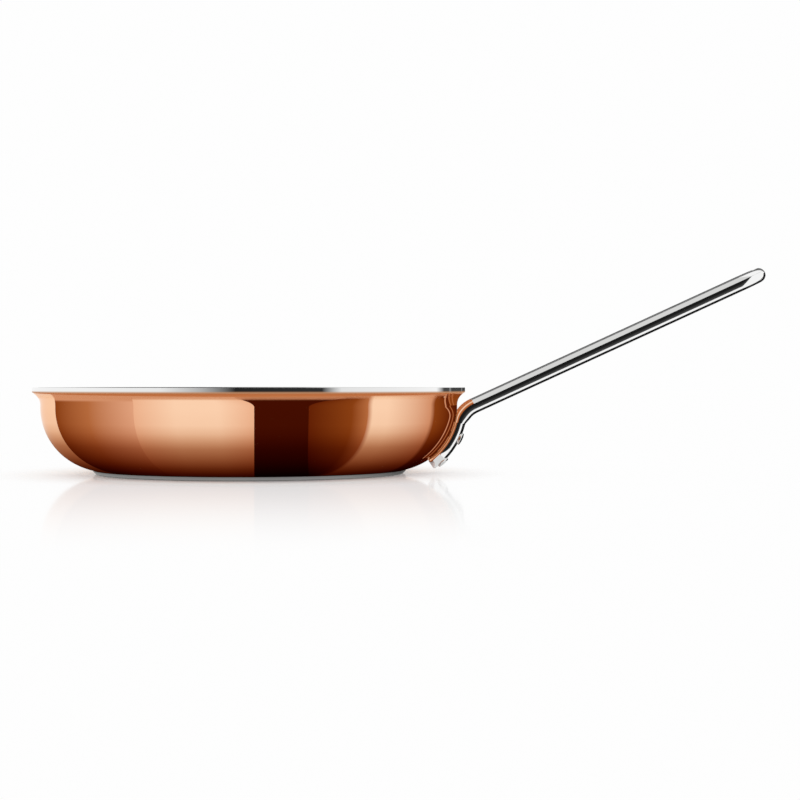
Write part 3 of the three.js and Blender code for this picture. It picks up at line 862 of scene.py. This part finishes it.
BASE_REACH = 0.5
BASE_CARD_BOTTOM = 0.6
BASE_COLUMNS, BASE_ROWS = 179, 15
BASE_SHADES = (0.4, 0.6)
DARKER_FROM, DARKER_TO, DARKER = 40, 72, 0.4

azimuth = np.linspace(-SIDE, SIDE, BASE_COLUMNS)[:, None]
height = np.linspace(BASE_THICKNESS, BASE_CARD_BOTTOM, BASE_ROWS)
bevel_depth, bevel_height = BASE_RADIUS - BASE_FOOT_RADIUS, BASE_THICKNESS - BASE_LAND
radius = BASE_FOOT_RADIUS + bevel_depth * np.minimum(height / bevel_height, 1)
tilt = np.where(height < bevel_height, np.degrees(np.arctan2(bevel_depth, bevel_height)), 0)
darker = np.interp(azimuth, (DARKER_FROM, DARKER_TO), (1, DARKER))
shade = (darker * np.linspace(*BASE_SHADES, BASE_ROWS))[..., None] * np.ones(3)
base_paper = card_material("base_card_paper", BASE_REACH * FLARE_SEEN_FURTHER)
round_card("base_card", azimuth, radius, height, tilt, BASE_REACH, shade, base_paper)


# Rod cards: black, grey, white and copper-coloured paper in narrow strips along the rod, from its pressed
# leg to its tip. They give the polished steel its dark lines, and its legs the image of the bowl.

STRIP_REACH, COPPER_STRIP_REACH = 5, 1.5
STRIP_POINTS = 33
LEG_BARE, LEG_TAPER = 9, 7
LEAVING, BEND_END, BEND_MARGIN = 39, 48.3, 0.2
ROD_END = 1000  # past the end of the rod
ON_STRAIGHT = (BEND_END - BEND_MARGIN, ROD_END)
IN_BEND = (LEAVING - BEND_MARGIN, BEND_END + BEND_MARGIN)
BAND_END = 24
SECTION_STEP = 0.001
SOOT = (0.012, 0.012, 0.012)
CHARCOAL = (0.055, 0.055, 0.055)
SLATE = (0.11, 0.11, 0.11)
IRON = (0.17, 0.17, 0.17)
ASH = (0.25, 0.25, 0.25)
PEARL = (0.73, 0.73, 0.725)
AMBER = (0.52, 0.15, 0.045)
PEACH = (0.95, 0.62, 0.43)
COPPER_TONES = (UMBER, AMBER, AMBER, PEACH, PEACH, AMBER, AMBER)
COPPER_LEG, COPPER_BEND = (16, 19, 24, 26, 30, 32, 60), (21, 27, 36, 40, 50, 54, 88)

strip_paper = card_material("strip_paper", STRIP_REACH * SEEN_FURTHER)


def rod_strip(name, colours, straight, tip=None, leg=None, end=None, span=(LEG_BARE, ROD_END), side=-1,
              outline=False, reach=STRIP_REACH):
    """A strip beside the rod, over a span in millimetres from its cut end, between angles in degrees
    round its section from its facing side up to its top. The angles shift from those at the leg's end
    to those on the leg over a taper, then to those on the straight as the rod is freed, and towards
    those at the tip with the sine of the loop's turn. On the outline they are angles from the way to
    the camera, whose cosine is that of the angle round the rod times that of the turn. The section's
    normal is square to the step between its points just before and after."""
    point, normal, ahead, pressed, inset = half_rod()
    way = np.concatenate([[0], np.cumsum(np.linalg.norm(np.diff(point, axis=0), axis=1))])
    turn = np.zeros(len(point))
    turn[-LOOP_STATIONS:] = np.linspace(0, np.pi / 2, LOOP_STATIONS)
    kept = (way >= span[0]) & (way <= span[1])
    hand = np.array([1, side, 1])
    outer = hand * normal[kept]
    facing = np.cross(outer, hand * ahead[kept])
    way, pressed, inset, turn = (values[kept, None] for values in (way, pressed, inset, turn))
    leg = leg or straight
    end, leg, straight, tip = np.array([end or leg, leg, straight, tip or straight], float)
    tapered = np.clip(1 - (way - LEG_BARE) / LEG_TAPER, 0, 1)
    rounded = np.sin(turn) if outline else np.minimum(np.sin(turn) / np.sin(np.radians(BAND_END)), 1)
    stops = straight + pressed * (leg - straight) + tapered * (end - leg) + rounded * (tip - straight)
    spot = np.linspace(len(straight) - 1, 0, STRIP_POINTS)
    weights = np.clip(1 - np.abs(spot[:, None] - np.arange(len(straight))), 0, 1)
    angle = np.radians(stops @ weights.T)
    if outline:
        level = np.cos(angle) / np.maximum(np.cos(turn), TINY)
        angle = np.sign(angle) * np.arccos(np.minimum(level, 1))
    narrow = np.array([np.ones_like(way), end_narrowing(way)])
    before, here, after = (narrow * rod_section(angle + np.pi / 2 + step, pressed, inset)
                           for step in (-SECTION_STEP, 0, SECTION_STEP))
    lean = (after - before)[::-1] / np.linalg.norm(after - before, axis=0)
    facing, outer = facing[:, None], outer[:, None]
    surface = (hand * point[kept])[:, None] + here[1][..., None] * facing + here[0][..., None] * outer
    around = lean[0][..., None] * outer - lean[1][..., None] * facing
    colour = np.repeat((weights @ np.array(colours))[None], len(angle), axis=0)
    facing_card(name, surface, around, reach, colour, strip_paper)


rod_strip("rod_dark_strip", (SLATE, CHARCOAL, SOOT, SOOT), (-23, -16, 2, 21), tip=(20.4, 20.6, 20.8, 21),
          leg=(-16, -11, -1, 16), end=(13, 14, 15, 16))
rod_strip("rod_white_strip", (WHITE, WHITE), (-42, -23), tip=(-42, 20.4), leg=(-37, -16), end=(-37, 13))
rod_strip("rod_bottom_strip", (SOOT, SOOT), (-88, -42), tip=(-88, -60), leg=(-86, -37), outline=True)
rod_strip("rod_pearl_strip", (PEARL, PEARL), (21, 66), tip=(21, 21.5), span=ON_STRAIGHT)
rod_strip("tip_white_strip", (WHITE, WHITE), (65.5, 66), tip=(21.5, 60), span=ON_STRAIGHT)
rod_strip("rod_top_strip", (ASH, IRON, SLATE), (66, 70, 86), tip=(62, 66, 86), span=ON_STRAIGHT,
          outline=True)
rod_strip("rod_far_strip", (ASH, IRON, SLATE), (48, 54, 88), tip=(62, 66, 88), span=ON_STRAIGHT, side=1,
          outline=True)
for name, span in (("leg_copper_strip", (0, LEAVING)), ("bend_copper_strip", IN_BEND)):
    rod_strip(name, COPPER_TONES, COPPER_BEND, leg=COPPER_LEG, span=span, reach=COPPER_STRIP_REACH)
rod_strip("far_bend_strip", (UMBER, AMBER, AMBER), (18, 30, 88), span=(LEAVING, IN_BEND[1]), side=1,
          reach=COPPER_STRIP_REACH)
rod_strip("leg_end_strip", (PEARL, PEARL), (-67, 16), span=(0, LEG_BARE))


# Rim cards: grey and black paper round the lip of the rim, copper-coloured along its lower edge, and
# inside the far rim. They give the polished steel its dark stretches and the glow of the copper below it.

RIM_REACH = 3
RIM_TILT, LIP_TILT = -65, 80
RIM_ROUND_ROWS, LIP_FACE_ROWS, LIP_ROUND_ROWS = 9, 25, 17
RIM_COLUMNS, FAR_RIM_COLUMNS = 713, 361
FAR_RIM_ROWS = 6
GLOW_FROM, GLOW_TO = 53.9, 52.9
GLOW = (0.58, 0.29, 0.15)
RIM_SHADES = (
    # azimuth and how light the paper is there
    (-SIDE, 0.97), (-40, 0.97), (-17, 0.89), (-7, 0.49), (1.2, 0.02), (22, 0.03), (27, 0.85), (59, 1),
    (63, 0.07), (66, 0.07), (67, 0.3), (68, 0.06), (77, 0.06), (78, 0.3), (79, 0.05), (SIDE, 0.05),
)
FAR_RIM_SHADES = (
    (91, 1), (122, 1), (158, 0.9), (170, 0.3), (188, 0.1), (200, 0.03), (226, 0.1), (252, 0.6), (269, 0.6),
)


def lip_face():
    """Radii, heights and tilts down the lip: the small round at its top, its upright face and the
    round at its bottom."""
    top, bottom = np.linspace(RIM_TILT, 0, RIM_ROUND_ROWS), np.linspace(0, LIP_TILT, LIP_ROUND_ROWS)
    upright = np.linspace(RIM_HEIGHT - RIM_ROUNDING, LIP_BOTTOM + LIP_ROUNDING, LIP_FACE_ROWS)
    rounds = np.radians(top), np.radians(bottom)
    radius = np.concatenate([RIM_ROUNDING * (np.cos(rounds[0]) - 1), 0 * upright,
                             LIP_ROUNDING * (np.cos(rounds[1]) - 1)])
    height = np.concatenate([upright[0] - RIM_ROUNDING * np.sin(rounds[0]), upright,
                             upright[-1] - LIP_ROUNDING * np.sin(rounds[1])])
    return RIM_RADIUS + radius, height, np.concatenate([top, 0 * upright, bottom])


def greys_round(stops, columns):
    """Azimuths in even steps from the first stop to the last, and greys blended between the stops."""
    places, lightness = np.transpose(stops)
    azimuth = np.linspace(places[0], places[-1], columns)[:, None]
    return azimuth, np.interp(azimuth, places, lightness)[..., None] * np.ones(3)


rim_paper = card_material("rim_card_paper", RIM_REACH * SEEN_FURTHER)
radius, height, tilt = lip_face()
azimuth, shade = greys_round(RIM_SHADES, RIM_COLUMNS)
glowing = np.clip((GLOW_FROM - height) / (GLOW_FROM - GLOW_TO), 0, 1)[:, None]
round_card("rim_card", azimuth, radius, height, tilt, RIM_REACH, shade + glowing * (np.array(GLOW) - shade),
           rim_paper)

radius, height = inner_face[FAR_RIM_ROWS::-1].T
tilt = -np.degrees(np.arctan2(height - FLARE_START, radius - NECK_RADIUS - FLARE_RADIUS))
azimuth, shade = greys_round(FAR_RIM_SHADES, FAR_RIM_COLUMNS)
round_card("far_rim_card", azimuth, radius, height, tilt, RIM_REACH,
           np.repeat(shade, len(radius), axis=1), rim_paper)


# Studio light: even white from all round, as from a tent of white cloth, at the strength that shows
# each colour as it is.

world = bpy.data.worlds.new("studio_light")
world.use_nodes = True
world.node_tree.nodes["Background"].inputs["Color"].default_value = STUDIO_WHITE
world.node_tree.nodes["Background"].inputs["Strength"].default_value = 1
bpy.context.scene.world = world
bpy.context.scene.view_settings.view_transform = "Standard"
